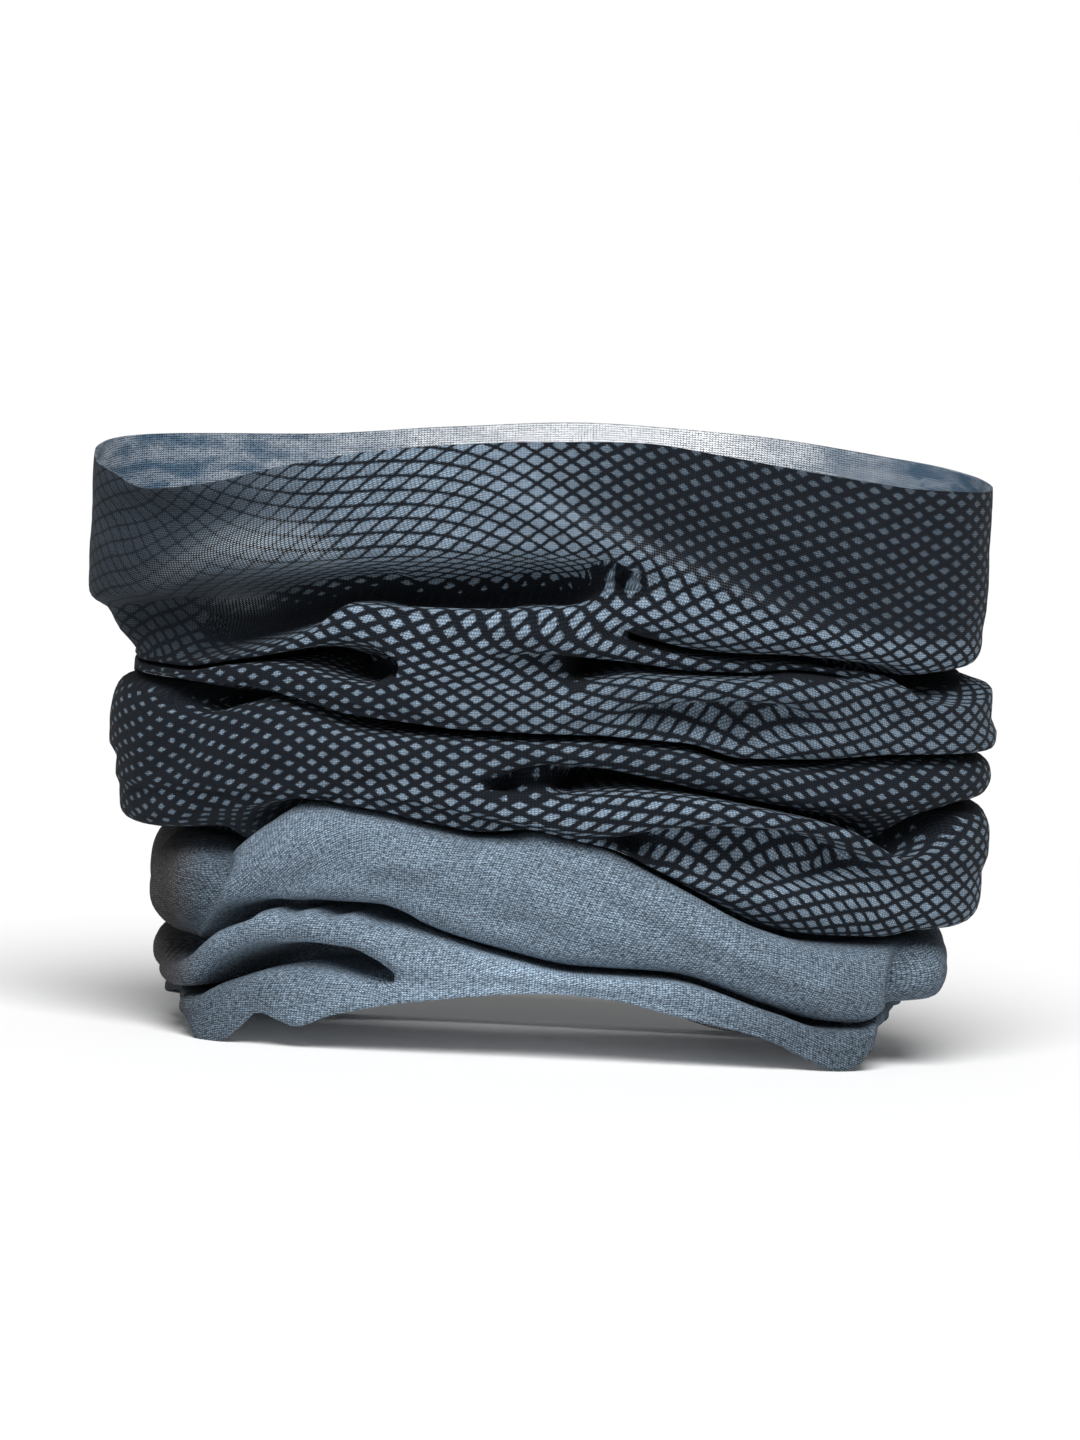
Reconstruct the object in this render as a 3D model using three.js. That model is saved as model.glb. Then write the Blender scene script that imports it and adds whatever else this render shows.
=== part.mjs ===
// A seamless knitted neck gaiter, pushed down along its own length so that it stands in soft
// horizontal rolls. Millimetres, +Z up, -Y is the front. The origin is under the middle of the
// tube, on the surface that the four feet of its wavy lower edge rest on.
//
// The real tube is one piece of cloth. A rigid solid can't gather, so the wall is cut along its
// creases into one closed ring for each roll. The rings lift off one another when the top is
// pulled up, as the creases of the cloth open.

import * as THREE from "three";
import { ParametricGeometry } from "three/addons/geometries/ParametricGeometry.js";

// Half sizes of the oval at the top band, from the tube's axis to the outside of the cloth.
const HALF_WIDTH_LEFT = 106;
const HALF_WIDTH_RIGHT = 103;
const HALF_DEPTH = 41;
const SQUARENESS = 2.5; // exponent of the oval: 2 is an ellipse, more is boxier

const ROLL_WALL = 20; // from the crest of a roll to the inside of the tube
const CREASE_DEPTH = 5; // how far the crease between two rolls lies behind the lower crest
const BAND_WALL = 2; // the top band is a single layer of cloth, turned in along its lower edge
const CREASE_GAP = 0.4; // clear height between two rings
const CREASE_DROOP = 2.5; // how far a crease falls from the inside of the wall to the outside
const INNER_BULGE = 0.8; // how far a ring swells into the tube between its creases

const SEGMENTS = 48; // steps around the oval
const SHOULDER = 0.3 * Math.PI; // where the shoulders of a roll sit on its round outside

// Eight places around the oval, in order: front, front right, right, back right, back,
// back left, left, front left. Every list of eight heights follows this order.
const LOWER_EDGE = [16, -3, 11, -3, 9, -3, 9, -3]; // below 0 the edge lies flat on a foot

// Each ring from the lower edge up. heights: its own height at the eight places. inset: how far
// its crest lies inside the top band's outline, on the left, right, front and back.
const RINGS = [
  {
    name: "hem",
    color: 0x5b7387,
    heights: [3.5, 8.5, 5, 9.5, 5, 10.5, 4.5, 15.5],
    inset: { left: 24, right: 17, front: 1, back: 1 },
  },
  {
    name: "hem_roll",
    color: 0x6b8499,
    heights: [5, 6.5, 8, 12.5, 10, 14.5, 14, 17],
    inset: { left: 22, right: 11, front: 0, back: 1 },
  },
  {
    name: "blue_roll",
    color: 0x7d97ac,
    heights: [26.5, 18, 10, 19, 20, 22, 19, 20],
    inset: { left: 18, right: 7, front: 0, back: 0 },
  },
  {
    name: "belly_roll",
    color: 0x3a4856,
    heights: [12, 28, 26, 22, 16, 18, 17, 15.5],
    inset: { left: 11, right: -3, front: 0, back: 0 },
  },
  {
    name: "middle_roll",
    color: 0x36434f,
    heights: [10, 14, 12, 12, 13, 12, 12.5, 11],
    inset: { left: 9, right: -2, front: 0, back: 1 },
  },
  {
    name: "side_roll",
    color: 0x313d49,
    heights: [6, 17, 15, 13, 12, 10, 7, 6],
    inset: { left: 8, right: -3, front: 0, back: 0 },
  },
  {
    name: "collar_roll",
    color: 0x2d3844,
    heights: [36, 5, 6, 12, 18, 19, 16, 22],
    inset: { left: 10, right: 5, front: 0, back: 0 },
  },
];

const BAND = {
  name: "top_band",
  color: 0x3d4c5a,
  heights: [29, 42.5, 40, 39, 36, 31, 34, 28],
};

// A smooth closed line through eight heights, read at u from 0 to 1 around the oval.
function aroundOval(heights) {
  const points = heights.map((height) => new THREE.Vector3(height, 0, 0));
  const line = new THREE.CatmullRomCurve3(points, true, "catmullrom", 0.5);
  return (u) => line.getPoint(u).x;
}

// The height of every crease line at u, from the lower edge to the rim.
const lowerEdge = aroundOval(LOWER_EDGE);
const ringHeights = [...RINGS, BAND].map((ring) => aroundOval(ring.heights));
function creaseHeight(index, u) {
  return ringHeights.slice(0, index).reduce((sum, height) => sum + height(u), lowerEdge(u));
}

// A point of the oval at u, set in from the top band's outline by inset, and by depth more.
function ovalPoint(u, inset, depth, height) {
  const angle = u * 2 * Math.PI;
  const across = Math.sin(angle);
  const along = Math.cos(angle);
  const swell = (Math.abs(across) ** SQUARENESS + Math.abs(along) ** SQUARENESS) ** (-1 / SQUARENESS);
  const right = HALF_WIDTH_RIGHT - inset.right;
  const left = HALF_WIDTH_LEFT - inset.left;
  const halfWidth = (across > 0 ? right : left) - depth;
  const halfDepth = HALF_DEPTH - (along > 0 ? inset.front : inset.back) - depth;
  return new THREE.Vector3(halfWidth * swell * across, -halfDepth * swell * along, height);
}

// The deeper inset of two neighbours on each side, so that both rings meet at one crease.
function sharedInset(one, other) {
  const sides = Object.keys(one);
  return Object.fromEntries(sides.map((side) => [side, Math.max(one[side], other[side])]));
}

// The face on one side of crease number index: three points from the outside to the inside.
function creaseFace(index, u, side) {
  const below = RINGS[Math.max(index - 1, 0)].inset;
  const above = RINGS[Math.min(index, RINGS.length - 1)].inset;
  const inset = sharedInset(below, above);
  const height = creaseHeight(index, u) + (side * CREASE_GAP) / 2;
  return [0, 0.5, 1].map((share) => {
    const depth = THREE.MathUtils.lerp(CREASE_DEPTH, ROLL_WALL, share);
    return ovalPoint(u, inset, depth, height + share * CREASE_DROOP);
  });
}

// The closed section of ring number index at u: up its round outside, over the upper crease
// face, down the inside and back along the lower crease face.
function ringSection(index, u) {
  const inset = RINGS[index].inset;
  const lower = creaseFace(index, u, 1);
  const upper = creaseFace(index + 1, u, -1);
  const middle = (lower[0].z + upper[0].z) / 2;
  const halfHeight = (upper[0].z - lower[0].z) / 2;
  const outside = [-SHOULDER, 0, SHOULDER].map((angle) => {
    const depth = CREASE_DEPTH * (1 - Math.cos(angle));
    return ovalPoint(u, inset, depth, middle + halfHeight * Math.sin(angle));
  });
  const inside = upper[2].clone().lerp(lower[2], 0.5);
  inside.x *= 1 - INNER_BULGE / HALF_WIDTH_RIGHT;
  inside.y *= 1 - INNER_BULGE / HALF_DEPTH;
  const section = [...outside, ...upper, inside, ...lower.reverse()];
  section.forEach((point) => {
    point.z = Math.max(point.z, 0);
  });
  return section;
}

// The closed section of the top band at u: a thin upright wall from the last crease to the rim,
// with its lower edge turned in to the inside of the tube.
function bandSection(u) {
  const outline = { left: 0, right: 0, front: 0, back: 0 };
  const lower = creaseFace(RINGS.length, u, 1);
  const foot = lower[0].z;
  const rim = creaseHeight(RINGS.length + 1, u);
  const middle = (foot + rim) / 2;
  const outside = [foot, middle, rim].map((height) => ovalPoint(u, outline, 0, height));
  const turn = foot + BAND_WALL;
  const inside = [rim, middle, turn].map((height) => ovalPoint(u, outline, BAND_WALL, height));
  const edge = lower[2].clone().setZ(lower[2].z + BAND_WALL);
  return [...outside, ...inside, edge, ...lower.reverse()];
}

// A ring carried around the oval: section(u) gives the same number of points at every u. They are
// taken from the last to the first, which turns the faces outwards.
function ring(name, color, section) {
  const count = section(0).length;
  const surface = (step, u, target) => {
    target.copy(section(u % 1).at(-Math.round(step * count)));
  };
  const geometry = new ParametricGeometry(surface, count, SEGMENTS);
  const cloth = new THREE.MeshStandardMaterial({ color, roughness: 0.92, metalness: 0 });
  const mesh = new THREE.Mesh(geometry, cloth);
  mesh.name = name;
  return mesh;
}

const gaiter = new THREE.Group();
RINGS.forEach(({ name, color }, index) => {
  gaiter.add(ring(name, color, (u) => ringSection(index, u)));
});
gaiter.add(ring(BAND.name, BAND.color, bandSection));

export default gaiter;
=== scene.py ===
"""A neck gaiter: one seamless tube of thin printed knit, pushed down along its own length so that
it stands in soft rolls.

The cloth is laid out as a sheet of rows and columns. A column is one upright section of the
gathered wall, from the rim down over every roll and into every crease to the lower edge. The rolls
and creases are given by a few places around the tube each, and smooth lines run between them."""

import math

import bpy
import numpy as np
from bpy.props import FloatProperty, FloatVectorProperty, IntProperty, PointerProperty
from mathutils import Matrix, Vector, noise


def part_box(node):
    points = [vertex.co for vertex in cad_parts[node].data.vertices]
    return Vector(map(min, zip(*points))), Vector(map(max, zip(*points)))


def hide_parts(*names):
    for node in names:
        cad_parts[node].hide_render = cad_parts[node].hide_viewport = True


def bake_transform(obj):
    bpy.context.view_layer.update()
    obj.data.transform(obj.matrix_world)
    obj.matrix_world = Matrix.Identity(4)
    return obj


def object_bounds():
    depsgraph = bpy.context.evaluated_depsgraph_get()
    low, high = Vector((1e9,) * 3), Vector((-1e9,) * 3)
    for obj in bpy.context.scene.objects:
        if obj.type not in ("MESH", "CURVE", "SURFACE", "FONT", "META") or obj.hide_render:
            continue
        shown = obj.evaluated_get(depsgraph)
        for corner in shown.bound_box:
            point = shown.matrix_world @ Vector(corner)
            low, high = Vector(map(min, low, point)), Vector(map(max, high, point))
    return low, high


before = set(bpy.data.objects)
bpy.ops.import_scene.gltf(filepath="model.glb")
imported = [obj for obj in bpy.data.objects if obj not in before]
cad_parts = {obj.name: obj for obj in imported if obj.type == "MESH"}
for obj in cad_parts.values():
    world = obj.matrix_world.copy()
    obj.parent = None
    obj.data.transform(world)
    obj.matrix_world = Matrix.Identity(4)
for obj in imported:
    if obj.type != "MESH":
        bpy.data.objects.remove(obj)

CAD_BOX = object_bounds()
BAND_LOW, BAND_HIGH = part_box("top_band")

bl_info = {
    "name": "Knitted Neck Gaiter",
    "version": (1, 0, 0),
    "blender": (4, 5, 0),
    "location": "View3D > Sidebar > Gaiter",
    "description": "Models a gathered tube of printed stretch knit and the stage it stands on",
    "category": "Object",
}

MM = 0.001

# The gathered shape, in millimetres. A place on the tube is (wall, x): x runs along its long
# width, and the wall says front or back. A roll's "out" is how far its crest stands outside the
# oval of the top band.

FRONT, BACK = 0, 1


def around(front, back):
    """Places round the tube, from rows of (x, ...) on its front wall and on its back wall."""
    return [(FRONT, *row) for row in front] + [(BACK, *row) for row in back]


# The rim: (wall, x, height).
RIM = around([
    (-106, 132.2), (-101, 129.4), (-93, 126.8), (-81, 128.8), (-59, 135.2), (-36, 140), (-8, 142.8),
    (20, 144), (38, 142), (62, 138.4), (87, 135), (103, 133.6),
], [(80, 137), (45, 140), (10, 141), (-24, 138.6), (-59, 135.6), (-95, 135)])

# The lower edge: (wall, x, height).
EDGE = around([
    (-106, 8), (-99, 6), (-87, 5), (-81, 0), (-74, 0), (-68, 4), (-63.5, 7.8), (-58, 6), (-54, 5),
    (-47, 7.8), (-25, 12.6), (7, 15.8), (20, 15), (33, 12.3), (56, 7.2), (64, 3.8), (70, 1.0), (74, 0),
    (77, 0.5), (80, 2.6), (82, 6), (84, 9.4), (93, 11.5), (103, 11),
], [(78, 3), (62, 0), (50, 0), (26, 6), (0, 9), (-28, 6), (-52, 0), (-66, 0), (-84, 4)])

# Each crease from the top down: (wall, x, upper lip, lower lip, depth). A crease with no depth
# is closed there, and the rolls on its two sides are one.
CREASES = [
    # under the band: a deep hollow on the left that closes right of the middle
    around([
        (-106, 98, 87, 1.6), (-91, 102.5, 87.5, 9), (-75, 108, 90.5, 13), (-57, 112, 96.5, 14),
        (-47, 113.6, 103, 14), (-21, 116.2, 103.2, 14), (-1, 117.2, 104.2, 13), (14, 117, 106.5, 9),
        (21, 114, 109, 3.5), (28, 112, 110, 0), (59, 109, 107.5, 0), (82, 107, 105.5, 0),
        (103, 104, 102, 0),
    ], [
        (80, 103, 100, 6), (40, 102, 98, 13), (0, 104, 98.5, 14), (-50, 103, 97, 14),
        (-90, 100, 91, 10),
    ]),
    # under the band's right half
    around([
        (-106, 86.6, 86.2, 0), (-75, 90, 89.6, 0), (-57, 95.5, 95, 0), (-47, 101, 100, 0),
        (-21, 101, 100, 0), (0, 101.5, 100.5, 0), (16, 101, 100, 0), (21, 99.5, 98, 3),
        (27, 98, 96.5, 8), (36, 96.3, 94.8, 12), (48, 95.5, 94, 14), (59, 95.6, 93.8, 14),
        (71, 94.8, 92.8, 14), (83, 93.5, 91.5, 14), (91, 91.4, 86.6, 13), (97, 91.8, 86.2, 11),
        (103, 92.5, 89.5, 8),
    ], [
        (80, 94, 93, 9), (40, 94.5, 93.5, 13), (0, 93, 92, 14), (-50, 91.5, 90.5, 12),
        (-90, 88.6, 88.1, 0),
    ]),
    # the left pocket, and the crease under the collar roll on the right
    around([
        (-106, 85.6, 84.9, 1.5), (-91, 85.6, 84.6, 8), (-75, 88.6, 87.4, 12), (-65, 90.7, 88.4, 13),
        (-57, 92.7, 87.6, 14), (-46, 94.3, 85.2, 14), (-41, 93.8, 84.8, 12), (-37, 91, 86.5, 5),
        (-33, 90, 87.5, 0), (-19, 91, 88, 0), (-10, 93.5, 86.5, 3), (0, 94.2, 85, 6),
        (13, 93.3, 88.2, 10), (24, 92.5, 90.2, 12), (36, 91.3, 90.2, 12), (50, 91.3, 90.3, 11),
        (61, 92.4, 91.6, 7), (71, 91.8, 91.2, 3), (83, 90.5, 90, 0), (103, 89, 88.5, 0),
    ], [(80, 88, 87, 3), (50, 87, 86, 11), (0, 86, 85, 14), (-50, 85.5, 84.5, 14), (-90, 85, 84, 7)]),
    # the dent in the right roll
    around([
        (-106, 83.9, 83.6, 0), (-75, 84, 83.6, 0), (-57, 82, 81.5, 0), (-36, 79, 78.5, 0),
        (-15, 77.5, 77, 0), (0, 78, 77, 0), (14, 81, 78.5, 0), (21, 83, 77.5, 2), (27, 84, 76.5, 4),
        (36, 84.8, 75.8, 6), (48, 85.4, 75.4, 7), (57, 85, 76.5, 5), (64, 83, 79, 2), (71, 81, 79.5, 0),
        (85, 80, 78, 0), (103, 79, 77.5, 0),
    ], [(80, 80, 79, 5), (40, 80, 79, 12), (0, 79, 78, 13), (-50, 79, 78, 8), (-80, 80, 79, 0)]),
    # the long crease across the middle
    around([
        (-106, 83.2, 82.2, 4), (-95, 83.2, 81, 6), (-88, 82.9, 77.5, 10), (-82, 82.8, 76, 13),
        (-74, 82.7, 78.4, 14), (-65, 82, 80.6, 14), (-56, 80, 78.6, 14), (-46, 77.8, 75, 14),
        (-36, 77, 74, 14), (-15, 75.6, 73.8, 14), (0, 75.6, 73.6, 14), (14, 75.6, 74.2, 14),
        (35, 74.9, 73.3, 14), (50, 71.5, 70, 14), (64, 71.6, 70.1, 14), (85, 73.3, 72, 13),
        (103, 73.4, 72.4, 8),
    ], [(80, 74, 73, 12), (0, 74, 73, 14), (-80, 76, 75, 12)]),
    # under the thin ridge
    around([
        (-106, 64, 63.5, 0), (-75, 64, 63, 0), (-39, 64, 63, 0), (-17, 64, 62.5, 0), (-11, 64.5, 62, 3),
        (-4, 67.5, 60.5, 6), (5, 69, 61.5, 10), (14, 68.4, 62.8, 13), (26, 66.4, 63.4, 14),
        (37, 64.4, 62.8, 14), (57, 61.2, 59.8, 14), (70, 59.2, 57.2, 14), (79, 58.3, 52.7, 13),
        (86, 58.8, 49.5, 12), (94, 60, 53, 10), (100, 61.6, 59.5, 8), (103, 61.8, 60.5, 7),
    ], [(90, 61, 60, 9), (50, 61, 60, 13), (0, 60, 59, 14), (-50, 62, 61, 13), (-90, 63, 62, 5)]),
    # the hollow under the arched ridge
    around([
        (-106, 57, 56.5, 0), (-39, 59, 58.5, 0), (1, 54, 53.5, 0), (10, 52.8, 51.7, 1),
        (19, 52.6, 50, 3), (29, 54.8, 47, 6), (42, 56.4, 45, 7), (56, 56.2, 45, 7), (68, 54, 46, 5),
        (76, 51, 47.8, 3), (84, 47.5, 46.5, 0), (103, 47, 46, 0),
    ], [(90, 53, 52, 0), (50, 52, 51, 8), (0, 52, 51, 13), (-50, 54, 53, 11), (-90, 55, 54, 0)]),
    # over the wide blue fold
    around([
        (-106, 47.5, 46.5, 8), (-98, 47.5, 45, 9), (-90, 48.5, 43.5, 10), (-81, 52.6, 43, 13),
        (-75, 53.7, 45.5, 14), (-66, 55.7, 51.5, 14), (-57, 57.6, 56.6, 14), (-40, 56.3, 55.3, 14),
        (-27, 53.8, 52.8, 14), (-13, 52, 50.8, 14), (-6, 52.8, 51, 14), (1, 53.6, 52.4, 14),
        (6, 52.8, 51.6, 14), (12, 52, 51, 14), (32, 44.2, 43, 14), (58, 33, 31.8, 14),
        (69, 30.8, 29.4, 14), (87, 30.3, 28.8, 13), (95, 31.5, 29, 11), (103, 32, 29.5, 9),
    ], [(60, 42, 41, 13), (0, 46, 45, 14), (-60, 47, 46, 13)]),
    # under the wide blue fold
    around([
        (-106, 22, 19, 5), (-97, 22, 16, 8), (-87, 26, 19, 11), (-76, 31, 26, 13), (-67, 33, 29.4, 14),
        (-63, 33.5, 31.8, 14), (-58, 33.5, 30.8, 14), (-53, 34, 32.2, 14), (-48, 34, 30.6, 14),
        (-43, 34, 31.6, 14), (-38, 34, 30, 14), (-31, 32.4, 29.4, 14), (-26, 30, 28.4, 14),
        (-7, 25, 23.6, 14), (12, 21.8, 20.3, 14), (33, 21.4, 20, 14), (59, 14.6, 13.2, 13),
        (73, 11, 9.5, 11), (81, 10.4, 9.4, 9), (90, 14, 13, 7), (103, 16, 15, 6),
    ], [(70, 20, 19, 9), (0, 26, 25, 13), (-60, 24, 23, 12), (-90, 25, 24, 7)]),
    # the pocket in the lower left roll
    around([
        (-106, 12, 11, 5), (-97, 10.5, 9.5, 7), (-87, 11.5, 9, 9), (-77, 18, 13.4, 11),
        (-65, 23.3, 17.4, 13), (-54, 24.4, 19.4, 13), (-44, 24, 17.6, 12), (-36, 20.9, 15.8, 6),
        (-32, 18.5, 16.2, 2), (-28, 18, 16.5, 0), (-7, 19, 18, 0), (12, 17.5, 17, 0), (33, 15, 14.5, 0),
        (59, 8, 7.5, 0), (73, 4.5, 4, 0), (81, 7.5, 7, 0), (103, 12.5, 12, 0),
    ], [(60, 9, 8, 8), (0, 16, 15, 13), (-60, 11, 10, 12), (-90, 12, 11, 6)]),
]

# How far each roll's crest stands outside the oval, from the band down: (wall, x, out).
CRESTS = [
    around([(-106, 0), (0, 0), (103, -0.8)], [(0, 0)]),
    around([
        (-106, -12), (-91, -10), (-75, -8), (-57, -6), (-47, -4), (-21, -3), (0, -3), (16, -2), (35, 0),
        (103, -1.5),
    ], [(60, -2), (-60, -3)]),
    around([
        (-106, -12), (-91, -9), (-75, -6), (-57, -4.5), (-47, -3), (-34, -2), (0, -2.5), (17, -3),
        (36, -4), (59, -5), (83, -5), (103, -6),
    ], [(60, -2), (-60, -2)]),
    around([
        (-106, -12), (-91, -8), (-75, -4), (-57, -3), (-46, -2), (-36, -1.5), (0, -2), (25, 0.5),
        (50, 2), (83, 0), (103, 1.5),
    ], [(60, 0), (-60, -1)]),
    around([
        (-106, -12), (-75, -4.5), (-36, -3), (1, -2.5), (31, -3), (49, -3), (71, -1), (103, 3),
    ], [(60, 0), (-60, -1)]),
    around([
        (-106, -6.5), (-75, -2), (-36, -1), (1, -1.5), (31, -2), (61, -1.5), (103, 2),
    ], [(60, 0), (-60, 0)]),
    around([
        (-106, -8.5), (-75, -2), (-36, -1.5), (1, 0), (31, 2.2), (61, 2.4), (91, 1), (103, 2.5),
    ], [(60, 0), (-60, -1)]),
    around([
        (-106, -9.5), (-75, -4), (-36, -3), (1, -4), (31, -4.5), (61, -3), (91, -1), (103, 1),
    ], [(60, -1), (-60, -1)]),
    around([
        (-106, -19), (-98, -14), (-88, -7), (-75, -3), (-55, -1), (-27, 0), (1, 0.5), (61, 0), (87, -2),
        (103, -6),
    ], [(60, -1), (-60, -2)]),
    around([
        (-106, -21), (-98, -15), (-88, -8), (-75, -4), (-55, -1.5), (-27, -1), (1, -1), (61, -0.5),
        (80, -2), (90, -10), (103, -18),
    ], [(60, -2), (-60, -3)]),
    around([
        (-106, -26), (-98, -20), (-88, -10), (-75, -4.5), (-55, -2), (-27, -1.5), (1, -1.5), (61, -1),
        (81, -2.5), (90, -14), (103, -22),
    ], [(60, -3), (-60, -4)]),
]

# Rows of control points on each roll, from the band down.
ROLL_ROWS = [10, 4, 5, 5, 4, 6, 5, 5, 9, 5, 5]

# Soft folds pressed into the front wall or raised on it: (x, height, half length, half width,
# tilt in degrees, out).
SOFT_FOLDS = [
    (-84, 121, 22, 4.5, 8, -2.6), (-74, 113.5, 24, 4, 12, 1.6), (-82, 127.5, 22, 2, 5, 0.8),
    (8, 123.5, 24, 3.4, -17, 2.6), (52, 106.5, 28, 3.4, -23, 3.2), (50, 116, 34, 7, -20, -2.2),
    (-30, 129, 40, 6, 4, 0.7), (88, 112, 5, 16, 0, -1.4), (-56, 47, 17, 2.6, 30, 1.6),
    (-50, 40.5, 20, 2.4, 22, -1.4), (-36, 44, 16, 2.4, 4, 1.0), (-18, 46.5, 24, 2.6, -22, 1.1),
    (-30, 39, 18, 2.2, -10, -0.9), (20, 37, 24, 2.4, -26, -1.1), (44, 28, 26, 3, -24, 1.2),
    (-8, 33, 28, 2.4, -16, -1.0), (56, 20, 16, 2.4, -20, -1.0), (-8, 100, 20, 2.2, -12, 1.0),
    (34, 72, 16, 2, -18, 0.9), (66, 66, 18, 2.4, 8, -1.3), (-62, 68, 18, 3.4, 14, 1.6),
    (-44, 60, 18, 2.6, 22, -1.6), (-84, 66, 10, 5, 60, -2.0), (-22, 67, 14, 3, -28, 1.2),
    (6, 88, 9, 5, 20, 1.0), (-14, 82, 12, 4, -60, -1.2), (-78, 34, 14, 3.6, 74, -8.0),
    (-88, 30, 15, 4.5, 84, 3.0), (-72, 41, 10, 3.6, 42, -2.6), (60, 41, 22, 2.6, 8, 1.1),
    (82, 82, 10, 3.4, -20, -1.8), (44, 100, 20, 2.4, -10, 1.0), (66, 50, 16, 3, 24, 1.2),
    (87, 21, 8, 2.6, 84, -6.0), (94, 22, 9, 3, 80, 2.4), (-70, 12, 8, 2, 35, 1.2),
    (10, 18.5, 30, 1.8, -4, 0.8), (-62, 31, 3.4, 2.6, 60, 1.0), (-53, 31, 3, 2.4, 70, 1.1),
    (-43, 30.5, 3, 2.4, 80, 1.0), (78, 7, 4, 6, 0, 1.2), (64, 8, 4, 8, -20, -1.0),
]

# How the sections are cut into rows and columns.
COLUMNS = 212
CROWDING = 0.3  # the front has this share more columns than an even spread, the back fewer
ROLL_STEPS = 2  # rows that follow each control point on a roll
CREASE_STEPS = [2, 1, 1, 1, 1, 2, 2]  # rows that follow each control point in a crease
ROLL_MARGIN = 0.6  # from a lip to the first control point on the roll, in shares of their spacing

# The back rolls are carried round from the front, with a slow rise and fall of their own.
BACK_SWAY, BACK_WAVES, BACK_SHIFT = 1.6, 5, 2.4  # how far, how often, turned from crease to crease
LEAST_BAND, LEAST_ROLL, LEAST_GAP, LEAST_HEM = 10.0, 0.5, 0.3, 1.0  # least heights

# The lips of a roll lie behind its crest by a share of its height.
LIP_SHARE, LEAST_LIP, MOST_LIP, BAND_LIP = 0.42, 0.6, 6.0, 1.4
LIP_POWER, BAND_POWER = 2.1, 5.0  # more makes flatter rolls with tighter lips
HEM_TURN = 0.4  # how far the lower edge turns in

# A crease narrows behind its lips to a neck and ends in a round bulb.
LEAST_DEPTH, MOST_DEPTH = 2.0, 27.0
FRONT_SLOPE, BACK_SLOPE = 0.06, 0.45  # how steeply it climbs behind the roll above
OPEN_AT = 5.0  # a crease of this depth is fully open
NECK_AT, NECK_GAP, LEAST_NECK = 0.3, 0.36, 0.3  # where it is, and its half height by the gap
BULB_GAP, HOLLOW_BULB = 0.2, 0.12  # its half height by the gap, and what a hollow adds
BULB_ROOM, MOST_ROOM = 0.36, 12.0  # a bulb fills this share of the roll beside it
HOLLOW_FROM, HOLLOW_TO = 3.0, 9.0  # a crease this wide is an open hollow, which falls inwards
HOLLOW_FALL, HOLLOW_STRETCH = 0.45, 1.3
SHALLOW, DEEP = 8.0, 12.0  # a crease is a dent up to the first depth, and a fold from the second
DENT_RISE = 0.22  # a shallow dent is deepest under its upper lip
LIP_PLACE = 0.04  # where the lips are, in shares of the way from one roll to the next

# The creases are deepened until every section takes up the length of the flat cloth.
OUTSIDE_LENGTH = 190.0  # length of a section that shows on the outside
FITTING_ROUNDS = 5
FIRST_STRETCH, LEAST_STRETCH, MOST_STRETCH = 1.3, 0.9, 3
LEAST_FOLDED = 60  # the least length that lies in the creases
STRETCH_REACH = 3  # columns over which the deepening is evened out

WRINKLES_ROUND, WRINKLE_LENGTH = (9, 5), 9  # small wrinkles round the tube, and down it


class GaiterClothSettings(bpy.types.PropertyGroup):
    flat_round: FloatProperty(
        name="Round", description="Length round the flat, unworn tube", default=0.49,
        unit="LENGTH",
    )
    flat_length: FloatProperty(
        name="Length", description="Length of the flat, unworn tube from edge to edge",
        default=0.5, unit="LENGTH",
    )
    thickness: FloatProperty(
        name="Thickness", description="Thickness of the knit", default=0.00055, unit="LENGTH",
    )
    squareness: FloatProperty(
        name="Squareness", description="Exponent of the oval: 2 is an ellipse", default=2.5,
    )
    wrinkle: FloatProperty(
        name="Wrinkle", description="Height of the small random wrinkles", default=0.0003,
        unit="LENGTH",
    )


class GaiterPrintSettings(bpy.types.PropertyGroup):
    scale_columns: IntProperty(
        name="Scales Round", description="Printed scales round the tube", default=82,
    )
    scale_height: FloatProperty(
        name="Scale Repeat", description="Height of the repeat of the printed scales",
        default=0.0035, unit="LENGTH",
    )
    ground: FloatVectorProperty(
        name="Ground", description="Dark ground of the print", subtype="COLOR", size=4,
        min=0, max=1, default=(0.009, 0.0125, 0.018, 1),
    )
    scale: FloatVectorProperty(
        name="Scale", description="Printed scales", subtype="COLOR", size=4, min=0, max=1,
        default=(0.26, 0.345, 0.438, 1),
    )
    plain: FloatVectorProperty(
        name="Plain Blue", description="Plain lower part of the cloth", subtype="COLOR",
        size=4, min=0, max=1, default=(0.17, 0.225, 0.285, 1),
    )
    inside: FloatVectorProperty(
        name="Inside", description="Unprinted inner face", subtype="COLOR", size=4,
        min=0, max=1, default=(0.95, 0.97, 1.0, 1),
    )
    wale: FloatProperty(
        name="Wale", description="Width of one column of knit stitches", default=0.00068,
        unit="LENGTH",
    )
    course: FloatProperty(
        name="Course", description="Height of one row of knit stitches", default=0.00052,
        unit="LENGTH",
    )


class GaiterStageSettings(bpy.types.PropertyGroup):
    floor_radius: FloatProperty(
        name="Floor Radius", description="Radius of the pale floor", default=12, unit="LENGTH",
    )
    elevation: FloatProperty(
        name="Elevation", description="Camera angle above the horizon",
        default=math.radians(6), subtype="ANGLE",
    )
    lean: FloatProperty(
        name="Lean", description="How far the camera leans to the left",
        default=math.radians(2.7), subtype="ANGLE",
    )
    distance: FloatProperty(
        name="Distance", description="From the camera to the tube's axis", default=4.0,
        unit="LENGTH",
    )
    view_height: FloatProperty(
        name="View Height", description="Height of the view at the tube's axis", default=0.334,
        unit="LENGTH",
    )


# Lines around the tube.


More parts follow.
